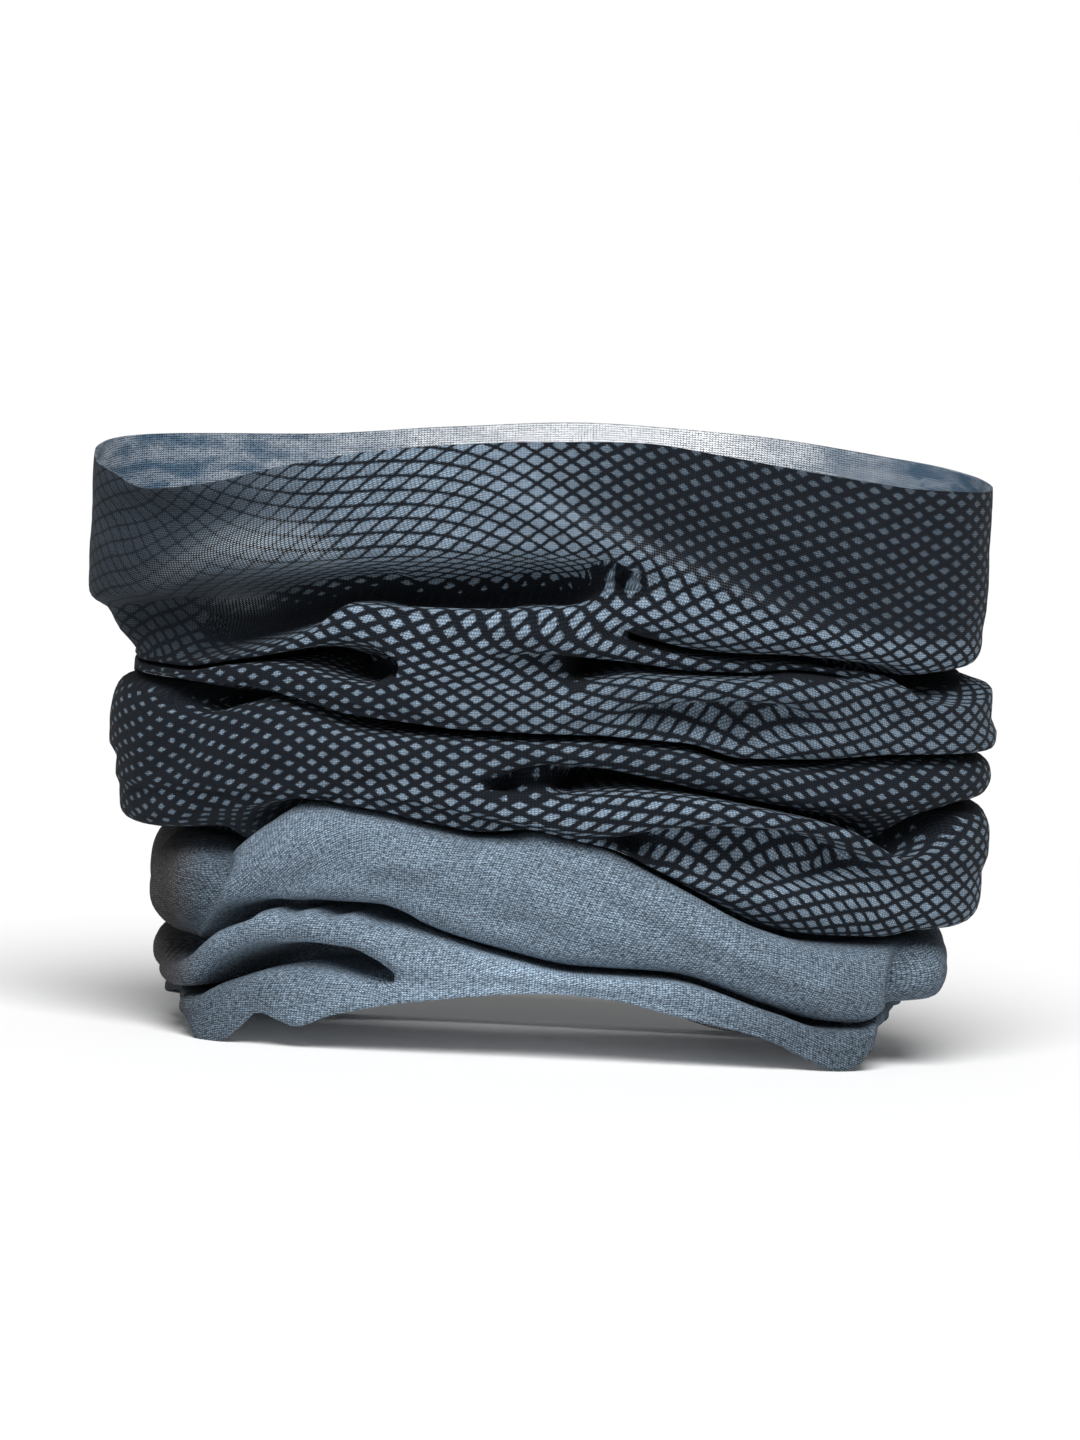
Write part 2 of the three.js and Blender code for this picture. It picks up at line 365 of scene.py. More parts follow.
class Oval:
    """The oval that the cloth stands on, cut into columns from the back round the front."""

    def __init__(self, squareness):
        self.left = -BAND_LOW[0] / MM
        self.right = BAND_HIGH[0] / MM
        self.depth = -BAND_LOW[1] / MM
        self.squareness = squareness
        share = np.arange(COLUMNS) / COLUMNS
        even = (share - 0.5) * 2 * math.pi
        self.turn = even - CROWDING * np.sin(even)
        fine = np.linspace(-math.pi, math.pi, 3601)
        x, y = self.point(fine, 0)
        length = np.concatenate([[0], np.hypot(np.diff(x), np.diff(y)).cumsum()])
        self.around = np.interp(self.turn, fine, length)
        self.length = length[-1]
        self.front = ease(0.1, 0.5, np.cos(self.turn))
        self.back = ease(-0.2, 0.6, -np.cos(self.turn))

    def point(self, turn, out):
        """The plan of a point that stands outside the oval by out."""
        across, along = np.sin(turn), np.cos(turn)
        power = self.squareness
        swell = (np.abs(across) ** power + np.abs(along) ** power) ** (-1 / power)
        wide = np.where(across > 0, self.right, self.left)
        return (wide + out) * swell * across, -(self.depth + out) * swell * along

    def turn_of(self, wall, x):
        """The angle of a place: 0 at the front middle, a quarter turn at the right end."""
        share = min(abs(x) / (self.right if x > 0 else self.left), 0.99995)
        turn = math.atan2(share, (1 - share**self.squareness) ** (1 / self.squareness))
        turn = math.copysign(turn, x)
        return (math.pi - turn if wall == BACK else turn) % (2 * math.pi)

    def line(self, rows, column):
        """A smooth closed line through one column of a list, with no overshoot, read at every
        column of the sheet."""
        points = sorted((self.turn_of(row[0], row[1]), row[column]) for row in rows)
        turns = np.array([p[0] for p in points])
        values = np.array([p[1] for p in points], float)
        full = 2 * math.pi
        turns = np.concatenate([turns[-2:] - full, turns, turns[:2] + full])
        values = np.concatenate([values[-2:], values, values[:2]])
        step = np.diff(turns)
        slope = np.diff(values) / step
        tangent = np.zeros_like(values)
        same = slope[:-1] * slope[1:] > 0
        first, second = 2 * step[1:] + step[:-1], step[1:] + 2 * step[:-1]
        before, after = np.where(same, slope[:-1], 1), np.where(same, slope[1:], 1)
        mean = (first + second) / (first / before + second / after)
        tangent[1:-1] = np.where(same, mean, 0)
        at = self.turn % full
        k = np.clip(np.searchsorted(turns, at, side="right") - 1, 1, len(turns) - 3)
        t = (at - turns[k]) / step[k]
        return (
            (1 + 2 * t) * (1 - t) ** 2 * values[k]
            + t * (1 - t) ** 2 * step[k] * tangent[k]
            + t * t * (3 - 2 * t) * values[k + 1]
            + t * t * (t - 1) * step[k] * tangent[k + 1]
        )


def ease(low, high, value):
    """From 0 at low to 1 at high, level at both ends."""
    t = np.clip((value - low) / (high - low), 0, 1)
    return t * t * (3 - 2 * t)


def smooth_round(values, width):
    """Spreads the values of a closed ring of columns over their neighbours."""
    reach = np.arange(-3 * width, 3 * width + 1)
    weight = np.exp(-0.5 * (reach / width) ** 2)
    weight /= weight.sum()
    return sum(w * np.roll(values, r) for w, r in zip(weight, reach))


# The upright sections.


class Sections:
    """The control points of every section, and how they are cut into rows."""

    def __init__(self, oval):
        self.oval = oval
        self.rim, self.edge = oval.line(RIM, 2), oval.line(EDGE, 2)
        self.upper, self.lower, self.open, self.depth = [], [], [], []
        last = self.rim - LEAST_BAND
        for i, crease in enumerate(CREASES):
            sway = BACK_SWAY * oval.back * np.sin(BACK_WAVES * oval.turn + BACK_SHIFT * i)
            upper = np.minimum(oval.line(crease, 2) + sway, last - LEAST_ROLL)
            lower = np.minimum(oval.line(crease, 3) + sway, upper - LEAST_GAP)
            depth = oval.line(crease, 4)
            self.upper.append(upper)
            self.lower.append(lower)
            self.depth.append(depth)
            self.open.append(ease(0, OPEN_AT, depth))
            last = lower
        self.edge = np.minimum(self.edge, last - LEAST_HEM)
        self.slope = FRONT_SLOPE + (BACK_SLOPE - FRONT_SLOPE) * oval.back
        self.out = [oval.line(crest, 2) for crest in CRESTS]
        self.tops = [self.rim] + self.lower
        bottoms = self.upper + [self.edge]
        self.heights = [top - bottom for top, bottom in zip(self.tops, bottoms)]
        # The height of cloth above and below each crease. A closed crease doesn't end it.
        self.above, self.below = list(self.heights[:-1]), list(self.heights[1:])
        for i in range(1, len(CREASES)):
            self.above[i] = self.above[i] + (1 - self.open[i - 1]) * self.above[i - 1]
        for i in range(len(CREASES) - 2, -1, -1):
            self.below[i] = self.below[i] + (1 - self.open[i + 1]) * self.below[i + 1]

    def inset(self, k):
        """How far the lips of roll k lie behind its crest."""
        return np.clip(LIP_SHARE * self.heights[k], LEAST_LIP, MOST_LIP if k else BAND_LIP)

    def roll(self, k):
        """The rows on roll k: its face is straight in the middle and turns in to both lips."""
        above = self.open[k - 1] if k > 0 else 0
        below = self.open[k] if k < len(CREASES) else 0
        inset = self.inset(k)
        power = LIP_POWER if k else BAND_POWER
        points = []
        for n in range(ROLL_ROWS[k]):
            share = (n + ROLL_MARGIN) / (ROLL_ROWS[k] - 1 + 2 * ROLL_MARGIN)
            turn_in = 1 - (1 - abs(2 * share - 1) ** power) ** (1 / power)
            side = above if share < 0.5 else below
            points.append((
                self.tops[k] - share * self.heights[k], self.out[k] - inset * turn_in * side,
            ))
        return points

    def crease(self, i, start, end, stretch):
        """The rows in crease i: in under the roll above, round the tip, and out again."""
        upper, lower, opened = self.upper[i], self.lower[i], self.open[i]
        above, below = self.above[i], self.below[i]
        lip_above = self.out[i] - self.inset(i)
        lip_below = self.out[i + 1] - self.inset(i + 1)
        base = np.minimum(lip_above, lip_below)
        gap = upper - lower
        middle = (upper + lower) / 2
        wide = ease(HOLLOW_FROM, HOLLOW_TO, gap)
        dent = 1 - ease(SHALLOW, DEEP, self.depth[i])
        hollow = HOLLOW_STRETCH + (1 - HOLLOW_STRETCH) * dent
        depth = self.depth[i] * (stretch + (hollow - stretch) * wide)
        depth = np.clip(depth, LEAST_DEPTH, MOST_DEPTH)
        room = BULB_ROOM * np.minimum(np.minimum(above, below), MOST_ROOM) * (1 - wide)
        neck = np.maximum(NECK_GAP * gap, LEAST_NECK)
        bulb = np.maximum((BULB_GAP + HOLLOW_BULB * wide) * gap, LEAST_NECK) + room
        within = depth + base - (self.out[i] + self.out[i + 1]) / 2
        fall = HOLLOW_FALL * (1 - dent) * np.minimum(below, MOST_ROOM) - DENT_RISE * dent * gap
        rise = self.slope * within - wide * fall
        full = [
            (upper, lip_above),
            (middle + NECK_AT * rise + neck, base - NECK_AT * within),
            (middle + rise + bulb, base - within),
            (middle + rise, base - within),
            (middle + rise - bulb, base - within),
            (middle + NECK_AT * rise - neck, base - NECK_AT * within),
            (lower, lip_below),
        ]
        points = []
        for n, (height, out) in enumerate(full, 1):
            share = n / (len(full) + 1)
            flat = [a + (b - a) * share for a, b in zip(start, end)]
            points.append(tuple(f + (p - f) * opened for f, p in zip(flat, (height, out))))
        return points

    def points(self, stretch):
        """All the control points, the number of rows that follow each, and the roll that each
        lies on, counted from the band, with parts of one in the creases."""
        rolls = [self.roll(k) for k in range(len(ROLL_ROWS))]
        points = [(self.rim, self.out[0])] * 3 + rolls[0]
        steps = [ROLL_STEPS] * len(points)
        places = [0] * len(points)
        for i in range(len(CREASES)):
            points += self.crease(i, rolls[i][-1], rolls[i + 1][0], stretch)
            steps += CREASE_STEPS
            places += [i + (n + 1) / (len(CREASE_STEPS) + 1) for n in range(len(CREASE_STEPS))]
            points += rolls[i + 1]
            steps += [ROLL_STEPS] * len(rolls[i + 1])
            places += [i + 1] * len(rolls[i + 1])
        points += [(self.edge, self.out[-1] - HEM_TURN)] * 3
        steps += [ROLL_STEPS] * 3
        places += [len(CREASES)] * 3
        return np.array(points), steps, np.array(places)

    def rows(self, stretch):
        """Heights and outs of every row, as two arrays of rows by columns. The rows follow a
        smooth curve drawn by the control points."""
        points, steps, places = self.points(stretch)
        rows, roll_of = [], []
        for k in range(len(points) - 3):
            for n in range(steps[k + 1]):
                t = n / steps[k + 1]
                weights = (
                    (1 - t) ** 3, 3 * t**3 - 6 * t**2 + 4, 1 + 3 * t + 3 * t**2 - 3 * t**3, t**3,
                )
                rows.append(sum(w * points[k + m] for m, w in enumerate(weights)) / 6)
                roll_of.append(sum(w * places[k + m] for m, w in enumerate(weights)) / 6)
        rows.append(points[-1])
        roll_of.append(places[-1])
        rows = np.array(rows)
        self.roll_of = np.array(roll_of)
        return rows[:, 0], rows[:, 1]


def spot(x, height, middle_x, middle_height, length, width, tilt):
    """A soft spot on the wall: 1 in its middle, fading over its half length and half width."""
    tilt = math.radians(tilt)
    dx, dz = x - middle_x, height - middle_height
    along = (dx * math.cos(tilt) + dz * math.sin(tilt)) / length
    across = (dz * math.cos(tilt) - dx * math.sin(tilt)) / width
    return np.exp(-(along**2 + across**2))


class Sheet:
    """The gathered sheet: its points in millimetres, and where each lies on the flat cloth."""

    def __init__(self, settings):
        self.oval = Oval(settings.squareness)
        sections = Sections(self.oval)
        stretch = np.full(COLUMNS, FIRST_STRETCH)
        target = settings.flat_length / MM
        for _ in range(FITTING_ROUNDS):
            height, out = sections.rows(stretch)
            x, y = self.oval.point(self.oval.turn[None, :], out)
            folded = self.lengths(x, y, height)[-1] - OUTSIDE_LENGTH
            wanted = stretch * (target - OUTSIDE_LENGTH) / np.maximum(folded, LEAST_FOLDED)
            wanted = np.clip(wanted, LEAST_STRETCH, MOST_STRETCH)
            stretch = smooth_round(wanted, STRETCH_REACH)
        for fold_x, fold_height, length, width, tilt, push in SOFT_FOLDS:
            shape = spot(x, height, fold_x, fold_height, length, width, tilt)
            out = out + push * self.oval.front * shape
        self.u = self.oval.around * settings.flat_round / MM / self.oval.length
        self.round = settings.flat_round / MM
        self.roll_of = sections.roll_of
        self.depths = sections.depth
        self.length = self.lengths(x, y, height)
        self.v = self.shown(x, y, height)
        out = out + settings.wrinkle / MM * self.wrinkles()
        x, y = self.oval.point(self.oval.turn[None, :], out)
        self.points = np.stack([x, y, np.maximum(height, 0)], -1)

    def lengths(self, x, y, height):
        """The length of cloth from the rim down to each row."""
        steps = np.sqrt(
            np.diff(x, axis=0) ** 2 + np.diff(y, axis=0) ** 2 + np.diff(height, axis=0) ** 2
        )
        return np.concatenate([np.zeros((1, COLUMNS)), steps.cumsum(0)])

    def shown(self, x, y, height):
        """The length of cloth that shows from the rim down to each row. In a deep crease the
        lengths count from both lips and the rest is taken up at its tip, and in a shallow dent
        it is taken up evenly."""
        length = self.length
        shown = length.copy()
        for i in range(len(CREASES)):
            first = int(np.argmax(self.roll_of > i + LIP_PLACE)) - 1
            tip = int(np.argmax(self.roll_of > i + 0.5))
            last = int(np.argmax(self.roll_of > i + 1 - LIP_PLACE))
            across = np.sqrt(
                (x[last] - x[first]) ** 2 + (y[last] - y[first]) ** 2
                + (height[last] - height[first]) ** 2
            )
            through = length[last] - length[first]
            evenly = np.clip((length - length[first]) / through, 0, 1)
            at_tip = (np.arange(len(length)) >= tip)[:, None]
            deep = ease(SHALLOW, DEEP, self.depths[i])
            shown -= (through - across) * (evenly + (at_tip - evenly) * deep)
        return shown

    def spread(self, field, reach):
        """Smooths a field down every column, over this length of cloth."""
        smooth = np.empty_like(field)
        for column in range(COLUMNS):
            length = self.length[:, column]
            share = np.exp(-(((length[:, None] - length[None, :]) / reach) ** 2))
            share *= np.gradient(length)[None, :]
            smooth[:, column] = share @ field[:, column] / share.sum(1)
        return smooth

    def wrinkles(self):
        """Small uneven wrinkles all over the cloth, about -1 to 1."""
        rough = np.empty_like(self.v)
        for row, column in np.ndindex(rough.shape):
            turn = self.oval.turn[column]
            wide, deep = WRINKLES_ROUND
            down = self.v[row, column] / WRINKLE_LENGTH
            at = Vector((math.sin(turn) * wide, math.cos(turn) * deep, down))
            rough[row, column] = noise.noise(at) + 0.5 * noise.noise(at * 2.3)
        return rough


# The print: what is printed where, and the painted shade and painted highlight laid on it.

PLAIN_FROM = 7.5  # the print ends between these two rolls, in the crease over the blue fold

# The soft ridge that runs down the band: scales are small and dim above it, and bright along it,
# partly in the print and partly as a painted highlight on its crest.
RIDGE_X = [-18, 1, 20, 44, 58, 72, 81]
RIDGE_HEIGHT = [134.4, 125.5, 119.4, 109.1, 103.7, 98.2, 95.5]
ABOVE_SIZE, ABOVE_TONE = 0.47, 0.38
RIDGE_PRINT_AND_HIGHLIGHT, RIDGE_WIDTH, RIDGE_BELOW = 0.3, 3.5, 2

# The size of the printed scales, 1 when they touch, and their brightness, on each roll from
# the band down: (wall, x, size, brightness). The brightness is partly the print's own and partly
# painted shade and light: low towards both ends of the tube, high on the front middle, and it
# darkens or brightens the plain cloth as well.
SCALE_SIZES_AND_SHADE = [
    around([
        (-106, 0.8, 0.2), (-92, 0.85, 0.11), (-72, 0.86, 0.3), (-50, 0.74, 0.8), (-20, 0.73, 1.1),
        (0, 0.72, 1.05), (20, 0.7, 0.9), (60, 0.64, 0.7), (103, 0.45, 0.4),
    ], [(60, 0.5, 0.7), (-60, 0.7, 0.6)]),
    around([
        (-106, 0.6, 0.1), (-84, 0.6, 0.12), (-70, 0.55, 0.6), (-50, 0.58, 1.5), (0, 0.58, 1.4),
        (50, 0.62, 1.0),
    ], [(0, 0.6, 0.7)]),
    around([
        (-106, 0.5, 0.15), (-84, 0.44, 0.7), (-60, 0.46, 1.1), (-30, 0.5, 1.15), (10, 0.56, 1.0),
        (60, 0.58, 0.95),
    ], [(0, 0.6, 0.7)]),
    around([
        (-106, 0.4, 0.7), (-50, 0.4, 1.05), (-10, 0.6, 0.95), (30, 0.65, 0.8), (80, 0.58, 0.75),
    ], [(0, 0.6, 0.7)]),
    around([(-106, 0.35, 0.6), (-40, 0.4, 0.7), (10, 0.68, 0.8), (80, 0.64, 0.75)], [(0, 0.6, 0.7)]),
    around([
        (-106, 0.3, 0.7), (-70, 0.34, 0.85), (-40, 0.46, 0.95), (0, 0.5, 0.9), (40, 0.46, 0.8),
        (90, 0.42, 0.75),
    ], [(0, 0.5, 0.7)]),
    around([
        (-106, 0.3, 0.6), (-60, 0.38, 0.8), (-30, 0.52, 1.15), (30, 0.56, 1.1), (80, 0.5, 0.8),
    ], [(0, 0.5, 0.7)]),
    around([(-106, 0.3, 0.5), (-40, 0.54, 0.9), (40, 0.6, 0.95), (90, 0.62, 1.0)], [(0, 0.5, 0.7)]),
    around([
        (-106, 0, 0.5), (-88, 0, 0.62), (-78, 0, 0.85), (-62, 0, 1.02), (0, 0, 1.02), (40, 0, 0.95),
        (80, 0, 0.78), (103, 0, 0.6),
    ], [(0, 0, 0.8)]),
    around([
        (-106, 0, 0.5), (-88, 0, 0.7), (-70, 0, 0.95), (-30, 0, 1.1), (0, 0, 1.55), (30, 0, 1.2),
        (70, 0, 0.55), (103, 0, 0.5),
    ], [(0, 0, 0.8)]),
    around([
        (-106, 0, 0.4), (-84, 0, 0.5), (-70, 0, 0.62), (-50, 0, 0.95), (0, 0, 1.55), (30, 0, 1.15),
        (64, 0, 0.52), (103, 0, 0.45),
    ], [(0, 0, 0.8)]),
]

# Where the cloth is drawn askew, so that the print turns: (x, first roll, last roll, half width,
# degrees, growth of the scales along their length).
TWISTS = [
    (-40, 0, 0, 48, 18, 1.5), (72, 0, 0, 45, -3, 1.0), (-44, 1, 2, 40, -12, 1.3),
    (30, 2, 4, 45, 13, 1.25), (-80, 5, 7, 40, 12, 1.0), (16, 5, 7, 50, 8, 1.3),
    (-62, 8, 8, 26, 30, 1.0), (16, 8, 8, 55, -24, 1.0), (-40, 9, 10, 40, -14, 1.0),
    (40, 9, 10, 50, -12, 1.0),
]

SPREAD = 5.0  # the print changes from roll to roll over this length of cloth
DRAWN_FROM, DRAWN_TO = 1.9, 3.0  # scales drawn this many times too long or short fade away
DRAWN_SPREAD = 1.2

# Where the cloth is drawn thin and its white base yarn shows: (x, height, half length, half
# width, tilt in degrees, strength).
DRAWN_THIN = [
    (-67, 116, 10, 4.5, 10, 0.8), (-82, 111, 10, 3, 30, 0.35), (-54, 116, 7, 3, -40, 0.5),
    (-69, 101.5, 7, 3, 6, 0.6), (22, 120, 26, 1.4, -22, 0.2),
]

# The inner face, from deep blue at 0 to nearly white at 1, round the rim: (wall, x, paleness).
PALENESS = around([
    (-106, 0.3), (0, 0.6), (103, 0.4),
], [
    (95, 0.06), (75, 0.18), (55, 0.5), (30, 1.0), (5, 0.95), (-25, 0.64), (-45, 0.32), (-70, 0.16),
    (-90, 0.1),
])

GREY_END_X, GREY_END_HEIGHT = -74, 50  # the plain cloth is greyer left of here, below this height


def on_rolls(sheet):
    """For each roll and row, 1 on the roll, falling to 0 across the creases beside it."""
    rolls = np.arange(len(ROLL_ROWS))[:, None]
    return np.clip(1 - np.abs(sheet.roll_of - rolls), 0, 1)


def drawn_cloth(sheet):
    """Where each point lies on the flat cloth, in millimetres across and down. The places are
    turned where the cloth is drawn askew."""
    oval = sheet.oval
    u = np.broadcast_to(sheet.u[None, :], sheet.v.shape)
    du, dv = np.zeros_like(u), np.zeros_like(u)
    share = ease(0, 1, on_rolls(sheet))
    full = 2 * math.pi
    for x, first, last, width, degrees, growth in TWISTS:
        turn = (oval.turn_of(FRONT, x) + math.pi) % full - math.pi
        middle_u = np.interp(turn, oval.turn, sheet.u)
        cos, sin = math.cos(math.radians(degrees)), math.sin(math.radians(degrees))
        for k in range(first, last + 1):
            row = int(np.argmin(np.abs(sheet.roll_of - k)))
            across, down = u - middle_u, sheet.v - sheet.v[row][None, :]
            weight = share[k][:, None] * np.exp(-((across / width) ** 2))
            du += weight * ((across * cos - down * sin) / growth - across)
            dv += weight * ((across * sin + down * cos) - down)
    return u + sheet.spread(du, SPREAD), sheet.v + sheet.spread(dv, SPREAD)


def spots(rows, sheet):
    """A sum of soft spots on the front wall, 0 to 1."""
    x, height = sheet.points[..., 0], sheet.points[..., 2]
    total = np.zeros_like(x)
    for spot_x, spot_height, length, width, tilt, strength in rows:
        total += strength * spot(x, height, spot_x, spot_height, length, width, tilt)
    return np.clip(total * sheet.oval.front, 0, 1)


def scale_fields(sheet):
    """Size and brightness of the printed scales at each point, where the cloth is plain, and
    where the plain cloth is grey. The brightness is partly print and partly painted shade."""
    share = on_rolls(sheet)
    oval = sheet.oval
    size, tone_and_shade = np.zeros_like(sheet.v), np.zeros_like(sheet.v)
    for k, places in enumerate(SCALE_SIZES_AND_SHADE):
        size += share[k][:, None] * oval.line(places, 2)[None, :]
        tone_and_shade += share[k][:, None] * oval.line(places, 3)[None, :]
    size, tone_and_shade = sheet.spread(size, SPREAD), sheet.spread(tone_and_shade, SPREAD)
    x, height = sheet.points[..., 0], sheet.points[..., 2]
    roll_of = sheet.roll_of[:, None]
    ridge = np.interp(x, RIDGE_X, RIDGE_HEIGHT)
    above = ease(-2, 5, height - ridge) * ease(-26, -8, x) * oval.front
    above = above * (roll_of < 1) * ease(-10, 30, x)
    size = size + (ABOVE_SIZE - size) * above
    tone_and_shade = tone_and_shade + (ABOVE_TONE - tone_and_shade) * above
    # A painted highlight along the ridge's crest, over the print's brighter scales there.
    beside = (height - ridge + RIDGE_BELOW) / RIDGE_WIDTH
    print_and_highlight = (roll_of < 1.4) * oval.front * ease(-10, 14, x) * np.exp(-(beside**2))
    tone_and_shade = tone_and_shade + RIDGE_PRINT_AND_HIGHLIGHT * print_and_highlight
    shown = np.maximum(np.gradient(sheet.v, axis=0), 0.02)
    drawn = np.gradient(sheet.length, axis=0) / shown
    drawn = np.maximum(drawn, 1 / np.maximum(drawn, 0.05))
    size = size * (1 - sheet.spread(ease(DRAWN_FROM, DRAWN_TO, drawn), DRAWN_SPREAD))
    plain = ease(PLAIN_FROM - 0.5, PLAIN_FROM + 0.5, roll_of)
    greyness = ease(0, 10, GREY_END_X - x) * ease(0, 4, GREY_END_HEIGHT - height)
    return size, tone_and_shade, plain, greyness


# Materials.

STITCH_SLANT, GROOVE_POWER = 0.6, 3.0
FLECKS, CLOUDS = (950, 2500, 1), (110, 330, 1)  # to the metre, across and down the cloth
RELIEF, EDGE_RELIEF = 0.00012, 0.0002
CORNERS = 6.0  # 2 makes ovals of the scales, more makes sharp rhombs
FRAY = 0.08  # how far the flecks of the yarn push the edge of a scale in or out
SOFT_FROM, SOFT_TO = -0.09, 0.07  # the soft edge of a scale, out and in from its line
GREY_YARNS = (0.035, 0.034, 0.037, 1), (0.16, 0.155, 0.16, 1)
EDGE_YARNS = (0.02, 0.028, 0.036, 1), (0.16, 0.2, 0.25, 1)
BASE_YARN = (0.55, 0.6, 0.64, 1)  # the white yarn that shows where the cloth is drawn thin
INNER_BLUE = (0.09, 0.15, 0.22, 1)


class Nodes:
    """Short ways to lay nodes in a tree."""

    def __init__(self, tree):
        self.tree = tree

    def add(self, kind, **settings):
        node = self.tree.nodes.new("ShaderNode" + kind)
        for name, value in settings.items():
            setattr(node, name, value)
        return node

    def feed(self, socket, value):
        if isinstance(value, bpy.types.NodeSocket):
            self.tree.links.new(value, socket)
        else:
            socket.default_value = value

    def math(self, operation, *values):
        node = self.add("Math", operation=operation)
        for socket, value in zip(node.inputs, values):
            self.feed(socket, value)
        return node.outputs[0]

    def mix(self, share, first, second, blend="MIX"):
        node = self.add("Mix", data_type="RGBA", blend_type=blend)
        self.feed(node.inputs["Factor"], share)
        self.feed(node.inputs["A"], first)
        self.feed(node.inputs["B"], second)
        return node.outputs["Result"]

    def remap(self, value, low, high, to_low=0.0, to_high=1.0):
        node = self.add("MapRange", interpolation_type="SMOOTHSTEP")
        for name, number in zip(
            ("Value", "From Min", "From Max", "To Min", "To Max"),
            (value, low, high, to_low, to_high),
        ):
            self.feed(node.inputs[name], number)
        return node.outputs["Result"]

    def noise(self, vector, scale, detail=2.0, roughness=0.5):
        node = self.add("TexNoise", noise_dimensions="3D")
        self.feed(node.inputs["Vector"], vector)
        self.feed(node.inputs["Scale"], scale)
        self.feed(node.inputs["Detail"], detail)
        self.feed(node.inputs["Roughness"], roughness)
        return node.outputs["Fac"]

    def stretched(self, vector, scale):
        node = self.add("Mapping")
        self.feed(node.inputs["Vector"], vector)
        node.inputs["Scale"].default_value = scale
        return node.outputs["Vector"]

    def attribute(self, name):
        return self.add("Attribute", attribute_name=name).outputs["Fac"]

    def uv(self, name):
        return self.add("UVMap", uv_map=name).outputs["UV"]

    def group(self, tree, **values):
        node = self.add("Group", node_tree=tree)
        for name, value in values.items():
            self.feed(node.inputs[name.replace("_", " ").title()], value)
        return node.outputs


def new_group(name, inputs, outputs):
    """An empty node group with float or vector sockets."""
    tree = bpy.data.node_groups.new(name, "ShaderNodeTree")
    for socket, kind in inputs:
        tree.interface.new_socket(socket, in_out="INPUT", socket_type="NodeSocket" + kind)
    for socket, kind in outputs:
        tree.interface.new_socket(socket, in_out="OUTPUT", socket_type="NodeSocket" + kind)
    nodes = Nodes(tree)
    start = tree.nodes.new("NodeGroupInput").outputs
    end = tree.nodes.new("NodeGroupOutput").inputs
    return tree, nodes, start, end


def knit_group():
    """Plain knit: columns of V-shaped stitches with a groove between them. Cloth is in metres."""
    tree, nodes, start, end = new_group(
        "Knit Stitches",
        [("Cloth", "Vector"), ("Wale", "Float"), ("Course", "Float")],
        [("Stitch", "Float")],
    )
    split = nodes.add("SeparateXYZ")
    nodes.feed(split.inputs[0], start["Cloth"])
    column = nodes.math("DIVIDE", split.outputs["X"], start["Wale"])
    row = nodes.math("DIVIDE", split.outputs["Y"], start["Course"])
    across = nodes.math("FRACT", column)
    across = nodes.math("SUBTRACT", across, 0.5)
    across = nodes.math("MULTIPLY", nodes.math("ABSOLUTE", across), 2.0)
    slant = nodes.math("MULTIPLY_ADD", across, STITCH_SLANT, row)
    wave = nodes.math("COSINE", nodes.math("MULTIPLY", slant, 2 * math.pi))
    wave = nodes.math("MULTIPLY_ADD", wave, 0.5, 0.5)
    groove = nodes.math("SUBTRACT", 1.0, nodes.math("POWER", across, GROOVE_POWER))
    nodes.feed(end["Stitch"], nodes.math("MULTIPLY", wave, groove))
    return tree


def yarn_group():
    """Melange yarn: short flecks along the columns, and soft clouds of dye."""
    tree, nodes, start, end = new_group(
        "Melange Yarn", [("Cloth", "Vector")], [("Fleck", "Float"), ("Cloud", "Float")],
    )
    fine = nodes.noise(nodes.stretched(start["Cloth"], FLECKS), 1.0, 2.0, 0.7)
    nodes.feed(end["Fleck"], nodes.remap(fine, 0.3, 0.7))
    broad = nodes.noise(nodes.stretched(start["Cloth"], CLOUDS), 1.0, 3.0, 0.6)
    nodes.feed(end["Cloud"], nodes.remap(broad, 0.3, 0.7))
    return tree


def new_material(name, roughness=0.9):
    """A dull material with the faint sheen of brushed yarn."""
    material = bpy.data.materials.new(name)
    material.use_nodes = True
    shader = material.node_tree.nodes["Principled BSDF"]
    for socket, value in (
        ("Roughness", roughness), ("Specular IOR Level", 0.1), ("Sheen Weight", 0.02),
        ("Sheen Roughness", 0.6),
    ):
        shader.inputs[socket].default_value = value
    return material, Nodes(material.node_tree), shader


def bump(nodes, shader, height, distance, strength):
    """Raises the surface where height is more."""
    node = nodes.add("Bump")
    node.inputs["Strength"].default_value = strength
    node.inputs["Distance"].default_value = distance
    nodes.feed(node.inputs["Height"], height)
    nodes.feed(shader.inputs["Normal"], node.outputs["Normal"])


def scale_mask(nodes, place, size, fray):
    """1 on the printed scales: rhombs with slightly rounded corners, in staggered rows."""
    split = nodes.add("SeparateXYZ")
    nodes.feed(split.inputs[0], place)
    rising = nodes.math("ADD", split.outputs["X"], split.outputs["Y"])
    falling = nodes.math("SUBTRACT", split.outputs["X"], split.outputs["Y"])
    reach = []
    for line in (rising, falling):
        offset = nodes.math("SUBTRACT", nodes.math("FRACT", line), 0.5)
        reach.append(nodes.math("POWER", nodes.math("ABSOLUTE", offset), CORNERS))
    distance = nodes.math("POWER", nodes.math("ADD", *reach), 1 / CORNERS)
    frayed = nodes.math("MULTIPLY_ADD", fray, FRAY, -FRAY / 2)
    edge = nodes.math("MULTIPLY_ADD", size, 0.5, frayed)
    return nodes.remap(nodes.math("SUBTRACT", edge, distance), SOFT_FROM, SOFT_TO)


